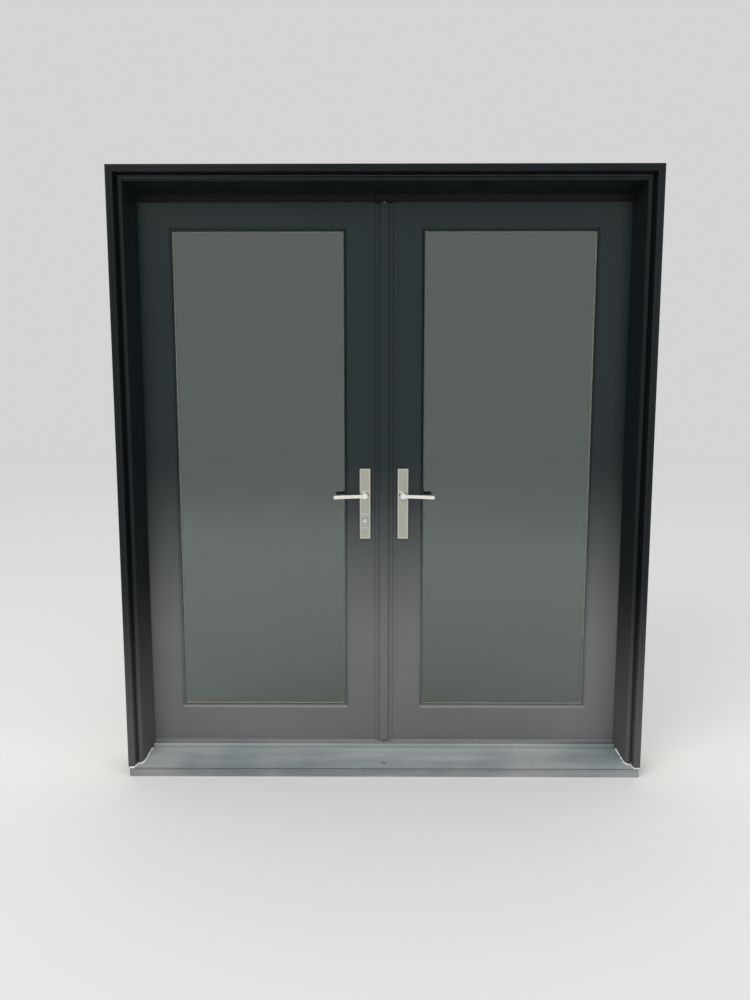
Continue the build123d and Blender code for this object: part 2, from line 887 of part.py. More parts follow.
def make_sweep(side, leaf):
    """The carrier under a leaf with two lips that hang over the threshold."""
    lip_low = threshold_top + seal_gap
    front = leaf_front + clad_wall
    back = leaf_back - clad_wall
    carrier_low = leaf_low - sweep_thickness
    with BuildPart() as sweep_strip:
        slab(side, leaf_near, leaf_far, front, back, carrier_low, leaf_low)
        for y in (front, front + sweep_lip_spacing):
            with BuildSketch(Plane.YZ.offset(side * leaf_near)):
                with BuildLine():
                    Polyline(
                        (y, carrier_low),
                        (y + sweep_lip_root, carrier_low),
                        (y + sweep_lip_tip, lip_low),
                        (y, lip_low),
                        close=True,
                    )
                make_face()
            extrude(amount=side * (leaf_far - leaf_near))
        if side == PASSIVE:
            hole = rod_radius + 2 * rod_clearance
            along_z(side * rod_place, leaf_middle, hole, lip_low, leaf_low, mode=Mode.SUBTRACT)
    keep(sweep_strip, f"{leaf}_bottom_sweep")


def make_astragal():
    """The T-shaped bar on the passive leaf that covers the joint between the leaves."""
    half = astragal_width / 2
    band = astragal_band / 2
    flange = leaf_front - seal_gap - astragal_flange
    front = leaf_front - astragal_depth
    with BuildPart() as astragal:
        with BuildSketch(Plane.XY.offset(leaf_low + astragal_bottom_gap)):
            with BuildLine():
                Polyline(
                    (half, leaf_front),
                    (half, flange + astragal_chamfer),
                    (half - astragal_chamfer, flange),
                    (band + astragal_chamfer, flange),
                    (band, flange - astragal_chamfer),
                    (band, front + astragal_chamfer),
                    (band - astragal_chamfer, front),
                    (astragal_chamfer - band, front),
                    (-band, front + astragal_chamfer),
                    (-band, flange - astragal_chamfer),
                    (-band - astragal_chamfer, flange),
                    (astragal_chamfer - half, flange),
                    (-half, flange + astragal_chamfer),
                    (-half, leaf_front - seal_gap),
                    (leaf_near, leaf_front - seal_gap),
                    (leaf_near, leaf_front),
                    close=True,
                )
            make_face()
        extrude(amount=astragal_top - leaf_low - astragal_bottom_gap)
    keep(astragal, "astragal")


# Handles

def field_ranges(with_cylinder):
    """Height ranges of the sunk fields of a handle plate, and the depth of each."""
    top = spindle_height + plate_above - plate_rim
    bottom = spindle_height - plate_below + plate_rim
    above = (spindle_height + band_round_spindle, top, field_depth)
    below_top = spindle_height - band_round_spindle
    if not with_cylinder:
        return [above, (bottom, below_top, field_depth)]
    recess_top = cylinder_height + cylinder_field
    recess_bottom = cylinder_height - cylinder_field
    return [
        above,
        (recess_top + plate_rim, below_top, field_depth),
        (recess_bottom, recess_top, cylinder_field_depth),
        (bottom, recess_bottom - plate_rim, field_depth),
    ]


def make_handle_plate(side, leaf, inside):
    """A long plate with a raised rim, sunk fields and a round collar behind the lever."""
    with_cylinder = side == ACTIVE
    x = side * backset
    base = off_face(inside, 0)
    top_face = off_face(inside, plate_thickness)
    collar_face = off_face(inside, plate_thickness + collar_height)
    near = backset - plate_width / 2
    far = backset + plate_width / 2
    low = spindle_height - plate_below
    high = spindle_height + plate_above
    with BuildPart() as plate:
        with BuildSketch(upright(base)):
            panel(side, near, far, low, high)
        extrude(amount=outward(inside) * plate_thickness)
        fillet(plate.edges().filter_by(Axis.Y), plate_round)
        outer = plate.faces().filter_by(Axis.Y).sort_by(Axis.Y)[-1 if inside else 0]
        chamfer(outer.edges(), plate_chamfer)
        for bottom, top, depth in field_ranges(with_cylinder):
            with BuildSketch(upright(top_face)):
                with Locations((x, (bottom + top) / 2)):
                    RectangleRounded(plate_width - 2 * plate_rim, top - bottom, field_round)
            extrude(amount=-outward(inside) * depth, mode=Mode.SUBTRACT)
        with BuildSketch(upright(top_face)):
            with Locations((x, spindle_height)):
                Circle(collar_radius)
        extrude(amount=outward(inside) * collar_height)
        front = min(base, collar_face)
        back = max(base, collar_face)
        along_y(x, spindle_height, half_diagonal + bore_clearance, front, back, mode=Mode.SUBTRACT)
        if with_cylinder:
            radius = turn_shaft_radius if inside else cylinder_radius
            along_y(x, cylinder_height, radius + bore_clearance, front, back, mode=Mode.SUBTRACT)
    keep(plate, f"{leaf}_{'inside' if inside else 'outside'}_plate")


def make_lever(side, leaf, inside):
    """A turned hub with a straight arm that widens to its tip and drops a little."""
    x = side * backset
    root = plate_thickness + collar_height + lever_gap
    end = lever_standoff + arm_depth / 2
    foot = off_face(inside, root)
    shoulder = off_face(inside, lever_standoff - arm_depth)
    crown = off_face(inside, end)
    with BuildPart() as lever:
        with BuildSketch(Plane.XY.offset(spindle_height)):
            with BuildLine():
                flange_end = (x + hub_radius + hub_flange, off_face(inside, root + hub_flange_end))
                waist = (x + hub_radius - hub_waist, off_face(inside, root + hub_waist_end))
                Polyline((x, crown), (x, foot), (x + hub_radius + hub_flange, foot), flange_end)
                Spline(flange_end, waist, (x + hub_radius, shoulder))
                Polyline(
                    (x + hub_radius, shoulder),
                    (x + hub_radius, off_face(inside, end - hub_chamfer)),
                    (x + hub_radius - hub_chamfer, crown),
                    (x, crown),
                )
            make_face()
        revolve(axis=Axis((x, 0, spindle_height), (0, 1, 0)))
        for share in (0, 0.5, 1):
            height = arm_height_root + share * (arm_height_tip - arm_height_root)
            depth = arm_depth + share * (arm_depth_tip - arm_depth)
            drop = lever_droop * share * sqrt(share)
            place = (x + side * share * lever_length, off_face(inside, lever_standoff), spindle_height - drop)
            with BuildSketch(Plane(origin=place, x_dir=(0, 1, 0), z_dir=(side, 0, 0))):
                RectangleRounded(depth, height, arm_round)
        loft()
        tip = lever.faces().sort_by(Axis.X)[0 if side == ACTIVE else -1]
        fillet(tip.edges(), tip_round)
        socket = spindle_size + 2 * spindle_clearance
        with BuildSketch(upright(foot)):
            with Locations((x, spindle_height)):
                Rectangle(socket, socket)
        extrude(amount=outward(inside) * (spindle_reach + lever_gap - root), mode=Mode.SUBTRACT)
    keep(lever, f"{leaf}_{'inside' if inside else 'outside'}_lever")


def make_spindle(side, leaf):
    with BuildPart() as spindle:
        slab(
            side, backset - spindle_size / 2, backset + spindle_size / 2,
            off_face(False, spindle_reach), off_face(True, spindle_reach),
            spindle_height - spindle_size / 2, spindle_height + spindle_size / 2,
        )
    keep(spindle, f"{leaf}_spindle")


# Lock of the active leaf

def lock_channel(width, height, middle, tail):
    """The way of a sliding bolt through the faceplate and the lock case, up to its tail."""
    grow = slide_clearance
    slab(
        ACTIVE, leaf_near, tail + tail_room,
        leaf_middle - width / 2 - grow, leaf_middle + width / 2 + grow,
        middle - height / 2 - grow, middle + height / 2 + grow, mode=Mode.SUBTRACT,
    )


def make_lock():
    x = ACTIVE * backset
    plate_back = leaf_near + faceplate_thickness
    half = case_thickness / 2
    latch_tail = latch_length - latch_reach + latch_travel
    bolt_tail = leaf_near + slide_clearance + bolt_length
    with BuildPart() as case:
        slab(
            ACTIVE, plate_back, plate_back + case_depth, leaf_middle - half, leaf_middle + half,
            case_bottom, case_top,
        )
        fillet(case.edges().filter_by(Axis.Y).sort_by(Axis.X)[:2], case_corner)
        lock_channel(latch_width, latch_height, spindle_height, latch_tail)
        lock_channel(bolt_width, bolt_height, cylinder_height, bolt_tail)
        hub_hole = half_diagonal + bore_clearance
        along_y(x, spindle_height, hub_hole, leaf_front, leaf_back, mode=Mode.SUBTRACT)
        cylinder_hole = cylinder_radius + bore_clearance
        along_y(x, cylinder_height, cylinder_hole, leaf_front, leaf_back, mode=Mode.SUBTRACT)
    keep(case, "lock_case")
    with BuildPart() as faceplate:
        front, back = edge_plate_depths(ACTIVE)
        slab(
            ACTIVE, leaf_near, plate_back, front, back,
            case_bottom - faceplate_overhang, case_top + faceplate_overhang,
        )
        lock_channel(latch_width, latch_height, spindle_height, latch_tail)
        lock_channel(bolt_width, bolt_height, cylinder_height, bolt_tail)
    keep(faceplate, "lock_faceplate")
    with BuildPart() as latch:
        low_y = leaf_middle - latch_width / 2
        high_y = leaf_middle + latch_width / 2
        with BuildSketch(Plane.XY.offset(spindle_height - latch_height / 2)):
            with BuildLine():
                Polyline(
                    (latch_reach - latch_length, low_y),
                    (latch_reach - latch_bevel, low_y),
                    (latch_reach, high_y - latch_nose),
                    (latch_reach, high_y),
                    (latch_reach - latch_length, high_y),
                    close=True,
                )
            make_face()
        extrude(amount=latch_height)
    keep(latch, "latch_bolt")
    with BuildPart() as deadbolt:
        tip = leaf_near + slide_clearance
        slab(
            ACTIVE, tip, bolt_tail,
            leaf_middle - bolt_width / 2, leaf_middle + bolt_width / 2,
            cylinder_height - bolt_height / 2, cylinder_height + bolt_height / 2,
        )
        chamfer(deadbolt.faces().sort_by(Axis.X)[-1].edges(), bolt_chamfer)
    keep(deadbolt, "deadbolt")


def make_cylinder():
    """The key cylinder's housing, its plug with the keyway, and the thumb turn inside."""
    x = ACTIVE * backset
    front = off_face(False, plate_thickness + cylinder_proud)
    plug_bore = plug_radius + pin_clearance
    with BuildPart() as housing:
        along_y(x, cylinder_height, cylinder_radius, front, leaf_middle)
        chamfer(housing.faces().sort_by(Axis.Y)[0].edges(), cylinder_chamfer)
        along_y(x, cylinder_height, plug_bore, front, leaf_middle, mode=Mode.SUBTRACT)
    keep(housing, "key_cylinder")
    with BuildPart() as plug:
        along_y(x, cylinder_height, plug_radius, front, leaf_middle)
        with BuildSketch(upright(front)):
            with Locations((x, cylinder_height)):
                Rectangle(keyway_width, keyway_height)
        extrude(amount=-keyway_depth, mode=Mode.SUBTRACT)
    keep(plug, "cylinder_plug")
    disc_base = off_face(True, plate_thickness + lever_gap)
    with BuildPart() as turn:
        along_y(x, cylinder_height, turn_shaft_radius, leaf_middle, disc_base)
        along_y(x, cylinder_height, turn_disc_radius, disc_base, disc_base + turn_disc_height)
        with BuildSketch(upright(disc_base + turn_disc_height)):
            with Locations((x, cylinder_height)):
                SlotOverall(turn_length, turn_width, rotation=90)
        extrude(amount=-turn_height)
        fillet(turn.faces().sort_by(Axis.Y)[-1].edges(), turn_round)
    keep(turn, "thumb_turn")


# Bolts of the passive leaf

def make_gear():
    x = PASSIVE * backset
    case_near = leaf_near + bolt_throw + gear_room
    half = case_thickness / 2
    with BuildPart() as case:
        case_far = leaf_near + faceplate_thickness + case_depth
        slab(
            PASSIVE, case_near, case_far, leaf_middle - half, leaf_middle + half, case_bottom, case_top
        )
        fillet(case.edges().filter_by(Axis.Y).sort_by(Axis.X)[-2:], case_corner)
        hub_hole = half_diagonal + bore_clearance
        along_y(x, spindle_height, hub_hole, leaf_front, leaf_back, mode=Mode.SUBTRACT)
        bore = rod_radius + bore_clearance / 2
        depth = rod_engagement + rod_throw
        rod_x = PASSIVE * rod_place
        along_z(rod_x, leaf_middle, bore, case_top - depth, case_top, mode=Mode.SUBTRACT)
        along_z(rod_x, leaf_middle, bore, case_bottom, case_bottom + depth, mode=Mode.SUBTRACT)
    keep(case, "gear_case")
    with BuildPart() as top_bolt:
        along_z(rod_x, leaf_middle, rod_radius, case_top - rod_engagement, leaf_high - rod_inset)
        chamfer(top_bolt.edges().sort_by(Axis.Z)[-1], rod_chamfer)
    keep(top_bolt, "top_bolt")
    with BuildPart() as bottom_bolt:
        along_z(rod_x, leaf_middle, rod_radius, leaf_low + rod_inset, case_bottom + rod_engagement)
        chamfer(bottom_bolt.edges().sort_by(Axis.Z)[0], rod_chamfer)
    keep(bottom_bolt, "bottom_bolt")


def make_edge_strike():
    """The plate on the passive leaf's edge that takes the latch and the deadbolt."""
    front, back = edge_plate_depths(PASSIVE)
    plate_back = leaf_near + faceplate_thickness
    with BuildPart() as strike:
        slab(
            PASSIVE, leaf_near, plate_back, front, back,
            case_bottom - faceplate_overhang, case_top + faceplate_overhang,
        )
        latch_half = latch_height / 2 + 2 * slide_clearance
        slab(
            PASSIVE, leaf_near, plate_back,
            leaf_middle - latch_width / 2 - slide_clearance, leaf_middle + latch_width / 2 + strike_room,
            spindle_height - latch_half, spindle_height + latch_half, mode=Mode.SUBTRACT,
        )
        bolt_half = bolt_height / 2 + 2 * slide_clearance
        slab(
            PASSIVE, leaf_near, plate_back,
            leaf_middle - bolt_width / 2 - slide_clearance, leaf_middle + bolt_width / 2 + slide_clearance,
            cylinder_height - bolt_half, cylinder_height + bolt_half, mode=Mode.SUBTRACT,
        )
    keep(strike, "edge_strike")


os.makedirs("parts", exist_ok=True)
make_sill()
make_threshold()
make_sealant()
make_casings()
make_jambs()
make_seals()
make_hinges()
make_bolt_strikes()
for leaf_side, leaf_name in ((ACTIVE, "active"), (PASSIVE, "passive")):
    make_cladding(leaf_side, leaf_name)
    make_core(leaf_side, leaf_name)
    make_glazing(leaf_side, leaf_name)
    make_sweep(leaf_side, leaf_name)
    make_spindle(leaf_side, leaf_name)
    for is_inside in (False, True):
        make_handle_plate(leaf_side, leaf_name, is_inside)
        make_lever(leaf_side, leaf_name, is_inside)
make_astragal()
make_lock()
make_cylinder()
make_gear()
make_edge_strike()
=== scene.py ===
# %% [markdown]
# # French doors in a dark clad frame
# The imported CAD model already holds every solid of the doors at its true place and size. This script
# keeps those solids, gives each one the finish of the real piece, and adds what is too small or too
# irregular for the CAD: screw heads, the beads of sealant, dust and streaks. Some finishes also carry
# painted light and shade: a paler lower paint and paler up-facing faces, a dark inner pane and
# blackened weatherstrips.

# %% Load the imported model
import math
import bpy
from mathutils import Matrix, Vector


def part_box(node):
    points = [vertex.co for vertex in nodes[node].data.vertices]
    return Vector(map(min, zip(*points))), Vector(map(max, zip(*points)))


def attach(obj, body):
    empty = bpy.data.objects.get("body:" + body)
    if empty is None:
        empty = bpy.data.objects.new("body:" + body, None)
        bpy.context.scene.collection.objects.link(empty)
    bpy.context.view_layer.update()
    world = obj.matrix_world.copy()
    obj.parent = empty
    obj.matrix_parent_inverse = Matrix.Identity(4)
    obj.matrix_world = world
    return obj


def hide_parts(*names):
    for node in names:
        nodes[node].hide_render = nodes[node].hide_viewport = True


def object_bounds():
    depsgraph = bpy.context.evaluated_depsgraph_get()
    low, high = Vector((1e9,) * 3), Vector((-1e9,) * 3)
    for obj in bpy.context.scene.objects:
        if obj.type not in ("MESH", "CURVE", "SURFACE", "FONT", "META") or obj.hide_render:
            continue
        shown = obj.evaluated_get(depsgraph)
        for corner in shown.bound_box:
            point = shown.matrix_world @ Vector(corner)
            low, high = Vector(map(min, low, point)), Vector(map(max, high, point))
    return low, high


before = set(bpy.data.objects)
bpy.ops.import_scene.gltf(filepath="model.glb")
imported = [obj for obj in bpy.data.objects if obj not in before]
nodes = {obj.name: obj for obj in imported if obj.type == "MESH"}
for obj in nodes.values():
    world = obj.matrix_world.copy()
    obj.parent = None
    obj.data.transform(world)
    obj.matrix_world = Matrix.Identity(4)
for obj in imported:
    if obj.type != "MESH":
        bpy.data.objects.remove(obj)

scene = bpy.context.scene
cad_box = [list(corner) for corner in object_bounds()]
print("CAD nodes:", len(nodes), "box:", cad_box)

# %% [markdown]
# ## Camera
# The photograph was taken from about 2.5 m in front of the doors, a little above the middle, looking
# slightly down. The numbers come from fitting a camera to the corners of the frame and of the panes,
# so the render can be laid over the photograph.

# %% Camera
camera_data = bpy.data.cameras.new("photo_camera")
camera_data.sensor_width = 36
camera_data.lens = 27
camera = bpy.data.objects.new("photo_camera", camera_data)
camera.location = (-0.0165, -2.5233, 1.2819)
camera.rotation_euler = (math.radians(90 - 6.729), 0, math.radians(0.333))
scene.collection.objects.link(camera)
scene.camera = camera
print("camera at", tuple(round(v, 3) for v in camera.location))

# %% [markdown]
# ## Studio
# A pale floor, a pale surrounding and large soft lamps show a dark object plainly. Dark paint and glass
# live from what they reflect, so the lamps are large and few. The surrounding is shown to the camera, to
# mirrors and through glass as one pale tone, and lights the object a little less.

# %% Floor, surrounding and lamps
scene.view_settings.view_transform = "Standard"


def make_floor(size, tone):
    mesh = bpy.data.meshes.new("studio_floor")
    half = size / 2
    corners = [(-half, -half, 0), (half, -half, 0), (half, half, 0), (-half, half, 0)]
    mesh.from_pydata(corners, [], [(0, 1, 2, 3)])
    floor = bpy.data.objects.new("studio_floor", mesh)
    scene.collection.objects.link(floor)
    paper = bpy.data.materials.new("pale_paper")
    paper.use_nodes = True
    shader = paper.node_tree.nodes["Principled BSDF"]
    shader.inputs["Base Color"].default_value = (*tone, 1)
    shader.inputs["Roughness"].default_value = 0.9
    mesh.materials.append(paper)
    return floor


def make_surrounding(shown, light):
    world = bpy.data.worlds.new("pale_surrounding")
    scene.world = world
    world.use_nodes = True
    tree = world.node_tree
    background = tree.nodes["Background"]
    path = tree.nodes.new("ShaderNodeLightPath")
    glossy_or_camera = tree.nodes.new("ShaderNodeMath")
    glossy_or_camera.operation = "MAXIMUM"
    seen = tree.nodes.new("ShaderNodeMath")
    seen.operation = "MAXIMUM"
    tone = tree.nodes.new("ShaderNodeMix")
    tone.data_type = "RGBA"
    tone.inputs["A"].default_value = (*light, 1)
    tone.inputs["B"].default_value = (*shown, 1)
    tree.links.new(path.outputs["Is Camera Ray"], glossy_or_camera.inputs[0])
    tree.links.new(path.outputs["Is Glossy Ray"], glossy_or_camera.inputs[1])
    tree.links.new(glossy_or_camera.outputs[0], seen.inputs[0])
    tree.links.new(path.outputs["Is Transmission Ray"], seen.inputs[1])
    tree.links.new(seen.outputs[0], tone.inputs["Factor"])
    tree.links.new(tone.outputs["Result"], background.inputs["Color"])


def make_lamp(name, place, target, size, watts, tone=(1, 1, 1)):
    data = bpy.data.lights.new(name, "AREA")
    data.shape = "RECTANGLE"
    data.size, data.size_y = size
    data.energy = watts
    data.color = tone
    lamp = bpy.data.objects.new(name, data)
    lamp.location = place
    lamp.rotation_euler = (Vector(target) - Vector(place)).to_track_quat("-Z", "Y").to_euler()
    scene.collection.objects.link(lamp)
    return lamp


make_floor(40, (0.93, 0.925, 0.91))
make_surrounding(shown=(0.655, 0.661, 0.657), light=(0.70, 0.71, 0.72))
make_lamp("key_lamp", (-3.2, -4.6, 5.6), (0, 0, 1), (3.5, 2.5), 150, (1, 0.98, 0.95))
make_lamp("fill_lamp", (3.6, -3.4, 2.2), (0, 0, 1), (2.5, 2.5), 30, (0.95, 0.98, 1))

# %% [markdown]
# ## Small tools for finishes
# Every finish starts from one Principled shader. Its colour, roughness and bump vary with noise that is
# read in Object coordinates, so a pattern has its true size in metres and stays on the piece when a leaf
# swings. A stretched noise makes grain, brushing or streaks.

# %% Helpers for finishes
def new_finish(name, colour, roughness, metallic=0.0):
    material = bpy.data.materials.new(name)
    material.use_nodes = True
    shader = material.node_tree.nodes["Principled BSDF"]
    shader.inputs["Base Color"].default_value = (*colour, 1)
    shader.inputs["Roughness"].default_value = roughness
    shader.inputs["Metallic"].default_value = metallic
    return material


def node(material, kind, **settings):
    made = material.node_tree.nodes.new(kind)
    for key, value in settings.items():
        setattr(made, key, value)
    return made


def link(material, source, target):
    material.node_tree.links.new(source, target)


def noise(material, scale, stretch=(1, 1, 1), detail=4.0, shift=(0, 0, 0)):
    """A noise from 0 to 1 in Object coordinates. stretch below 1 draws it out along that axis."""
    place = node(material, "ShaderNodeTexCoord")
    mapping = node(material, "ShaderNodeMapping")
    mapping.inputs["Scale"].default_value = stretch
    mapping.inputs["Location"].default_value = shift
    texture = node(material, "ShaderNodeTexNoise")
    texture.inputs["Scale"].default_value = scale
    texture.inputs["Detail"].default_value = detail
    link(material, place.outputs["Object"], mapping.inputs["Vector"])
    link(material, mapping.outputs["Vector"], texture.inputs["Vector"])
    return texture.outputs["Fac"]


def remap(material, value, low, high, to_low, to_high):
    """value from low to high becomes to_low to to_high, held at both ends."""
    ranged = node(material, "ShaderNodeMapRange", interpolation_type="SMOOTHSTEP")
    for key, number in (("From Min", low), ("From Max", high), ("To Min", to_low), ("To Max", to_high)):
        ranged.inputs[key].default_value = number
    link(material, value, ranged.inputs["Value"])
    return ranged.outputs["Result"]


def combine(material, operation, first, second):
    maths = node(material, "ShaderNodeMath", operation=operation)
    for socket, value in zip(maths.inputs, (first, second)):
        if isinstance(value, (int, float)):
            socket.default_value = value
        else:
            link(material, value, socket)
    return maths.outputs[0]


def position(material, axis, kind="Object"):
    """One coordinate of the point, or with kind="Normal" of the direction that the surface faces."""
    place = node(material, "ShaderNodeTexCoord")
    split = node(material, "ShaderNodeSeparateXYZ")
    link(material, place.outputs[kind], split.inputs[0])
    return split.outputs["XYZ".index(axis)]


def blend_colours(material, factor, first, second):
    mix = node(material, "ShaderNodeMix", data_type="RGBA")
    for key, value in (("A", first), ("B", second)):
        if isinstance(value, tuple):
            mix.inputs[key].default_value = (*value, 1)
        else:
            link(material, value, mix.inputs[key])
    link(material, factor, mix.inputs["Factor"])
    return mix.outputs["Result"]


def shader_of(material):
    return material.node_tree.nodes["Principled BSDF"]


def set_colour(material, colour):
    link(material, colour, shader_of(material).inputs["Base Color"])


def set_roughness(material, value):
    link(material, value, shader_of(material).inputs["Roughness"])


def set_bump(material, height, strength, depth, edge=0.0):
    """Relief of a given depth in metres. edge rounds sharp corners in the shading by that radius."""
    bump = node(material, "ShaderNodeBump")
    bump.inputs["Strength"].default_value = strength
    bump.inputs["Distance"].default_value = depth
    link(material, height, bump.inputs["Height"])
    if edge:
        bevel = node(material, "ShaderNodeBevel", samples=4)
        bevel.inputs["Radius"].default_value = edge
        link(material, bevel.outputs["Normal"], bump.inputs["Normal"])
    link(material, bump.outputs["Normal"], shader_of(material).inputs["Normal"])


print("helpers ready")

# %% [markdown]
# ## Baked paint on the cladding
# The outside is roll-formed aluminium with a near-black paint baked on: smooth, half glossy, with the
# faint orange peel of sprayed paint. A paler, rougher layer is mixed in by height, so the leaves are clean
# and dark above the handles and grey below them: partly dust that rain splashes up from the ground,
# partly a painted reflection of the bright ground. Faces that look up take more of the layer: partly
# dust lying on them, partly painted light where light falls on them.

# %% Painted finish
def painted(name, paint, dust, dust_and_reflection_low, dust_and_reflection_top, dust_and_reflection_most, specular):
    material = new_finish(name, paint, 0.25)
    shader_of(material).inputs["Specular IOR Level"].default_value = specular
    # Paler towards the bottom: partly dust, partly a painted reflection of the bright ground.
    dust_and_reflection_by_height = remap(material, position(material, "Z"), dust_and_reflection_low, dust_and_reflection_top, dust_and_reflection_most, 0.0)
    patches = remap(material, noise(material, 2.2, (1, 1, 0.5), 5), 0.3, 0.7, 0.88, 1.08)
    # Faces that look up turn paler: partly dust, partly painted light falling on them.
    ledge_dust_and_light = remap(material, position(material, "Z", "Normal"), 0.35, 0.75, 0, 0.6)
    layer = combine(material, "ADD", combine(material, "MULTIPLY", dust_and_reflection_by_height, patches), ledge_dust_and_light)
    set_colour(material, blend_colours(material, layer, paint, dust))
    set_roughness(material, remap(material, layer, 0, 0.6, 0.24, 0.6))
    set_bump(material, noise(material, 700, (1, 1, 1), 2), 0.25, 0.00006, edge=0.0008)
    return material


dark_paint = painted("dark_paint", (0.012, 0.021, 0.022), (0.24, 0.24, 0.245), 0.40, 1.15, 0.62, 0.27)
casing_paint = painted("casing_paint", (0.009, 0.0115, 0.013), (0.20, 0.20, 0.205), 0.05, 0.75, 0.42, 0.15)
print("painted finishes:", dark_paint.name, casing_paint.name)

# %% [markdown]
# ## Sill and threshold
# The sill is an extrusion in a lighter grey bronze that takes the weather and the feet. It has rubbed,
# dried-on streaks along its length, paler dust in the middle, and small pale specks. Dust lies on what
# faces up, so the slope is paler than the nosing, and a thin dark line runs behind the nosing's edge.

# %% Weathered sill finish
def weathered_sill():
    material = new_finish("weathered_sill", (0.19, 0.215, 0.225), 0.45)
    smears = noise(material, 14, (0.12, 1, 1), 6)
    rubbed = remap(material, smears, 0.35, 0.68, 0, 1)
    colour = blend_colours(material, rubbed, (0.16, 0.19, 0.20), (0.28, 0.30, 0.305))
    clouds = remap(material, noise(material, 3, (1, 1, 1), 5), 0.4, 0.7, 0, 0.55)
    colour = blend_colours(material, clouds, colour, (0.34, 0.345, 0.335))
    specks = remap(material, noise(material, 260, (1, 1, 1), 1), 0.70, 0.76, 0, 0.6)
    colour = blend_colours(material, specks, colour, (0.55, 0.54, 0.50))
    faces_up = remap(material, position(material, "Z", "Normal"), 0.4, 0.9, 0, 1)
    dusty = node(material, "ShaderNodeHueSaturation")
    link(material, remap(material, faces_up, 0, 1, 1.0, 1.34), dusty.inputs["Value"])
    link(material, colour, dusty.inputs["Color"])
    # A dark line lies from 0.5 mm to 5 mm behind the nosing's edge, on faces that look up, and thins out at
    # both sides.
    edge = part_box("sill")[0].y
    behind = remap(material, position(material, "Y"), edge + 0.0005, edge + 0.0012, 0, 0.8)
    before = remap(material, position(material, "Y"), edge + 0.0042, edge + 0.0052, 1, 0)
    dark_line = combine(material, "MULTIPLY", combine(material, "MULTIPLY", behind, before), faces_up)
    set_colour(material, blend_colours(material, dark_line, dusty.outputs["Color"], (0.045, 0.05, 0.052)))
    set_roughness(material, remap(material, smears, 0.3, 0.7, 0.38, 0.6))
    set_bump(material, noise(material, 420, (0.3, 1, 1), 3), 0.3, 0.00012, edge=0.0008)
    return material


sill_finish = weathered_sill()
print("sill finish:", sill_finish.name)

# %% [markdown]
# ## Pine under clear varnish
# Inside, the leaves and jambs are bare pine under a clear varnish. Growth rings cut along the trunk show
# as long bands, so a strongly stretched noise is bent into rings with a sine, and the stretch follows
# the length of each member. A thin coat gives the varnish its own gloss.

# %% Pine finish
def grain_factor(material, stretch):
    field = noise(material, 6, stretch, 2)
    rings = combine(material, "SINE", combine(material, "MULTIPLY", field, 190), 0)
    return remap(material, rings, -1, 1, 0, 1)


def pine(name, along):
    material = new_finish(name, (0.55, 0.34, 0.17), 0.42)
    stretch = (0.06, 1, 1) if along == "X" else (1, 1, 0.06)
    rings = grain_factor(material, stretch)
    colour = blend_colours(material, rings, (0.60, 0.39, 0.20), (0.50, 0.30, 0.14))
    tint = remap(material, noise(material, 2.5, stretch, 2, (4, 1, 2)), 0.3, 0.7, 0, 0.5)
    set_colour(material, blend_colours(material, tint, colour, (0.66, 0.45, 0.26)))
    fibres = noise(material, 330, stretch, 2)
    set_roughness(material, remap(material, fibres, 0.3, 0.7, 0.34, 0.5))
    set_bump(material, fibres, 0.25, 0.0002, edge=0.0008)
    shader = shader_of(material)
    shader.inputs["Coat Weight"].default_value = 0.5
    shader.inputs["Coat Roughness"].default_value = 0.22
    return material


upright_pine = pine("pine_upright", "Z")
level_pine = pine("pine_level", "X")
print("pine finishes:", upright_pine.name, level_pine.name)

# %% [markdown]
# ## Glass
# Each leaf has two panes. The outer one is clear, so the pale spacer bar behind its rim shows. The inner
# one is a dark grey-green sun-control glass. Its colour is partly the glass's own tint and partly painted
# shade, far darker than the glass alone, that stands for the unlit room behind, so it hardly lets the
# surroundings through. Both panes are one node, so the colour is chosen by the depth of the point between
# the panes.

# %% Clear pane and dark pane with painted room shade
def two_panes(clear, tint_and_room_shade):
    material = new_finish("sun_control_glass_and_room_shade", tint_and_room_shade, 0.0)
    shader = shader_of(material)
    shader.inputs["Transmission Weight"].default_value = 1
    shader.inputs["IOR"].default_value = 1.52
    shader.inputs["Specular IOR Level"].default_value = 0.35
    low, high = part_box("active_glass")
    middle = (low.y + high.y) / 2
    is_inner = combine(material, "GREATER_THAN", position(material, "Y"), middle)
    set_colour(material, blend_colours(material, is_inner, clear, tint_and_room_shade))
    return material


# The dark pane's colour is partly its tint and partly painted shade for the unlit room behind.
glass_finish = two_panes(clear=(0.93, 0.96, 0.94), tint_and_room_shade=(0.055, 0.075, 0.065))
print("glass:", glass_finish.name)

# %% [markdown]
# ## Soft and plain pieces
# Weatherstrips are matt black rubber, made darker than rubber is as painted shade for the shade under the
# head where they show. The gasket round the outer pane is dyed like the paint and takes the same dust and
# painted light, so it gets the paint's finish. The sweep is grey plastic, the spacer between the panes is
# a pale bar, and the sealant is a white rubber that has picked up some dirt.

# %% Rubber, spacer, sweep and sealant
def speckled(name, colour, worn, roughness, scale=60, depth=0.0001):
    material = new_finish(name, colour, roughness)
    patches = noise(material, scale, (1, 1, 1), 5)
    set_colour(material, blend_colours(material, remap(material, patches, 0.4, 0.75, 0, 0.6), colour, worn))
    set_roughness(material, remap(material, patches, 0.3, 0.7, roughness, min(1, roughness + 0.15)))
    set_bump(material, noise(material, scale * 8, (1, 1, 1), 2), 0.3, depth)
    return material


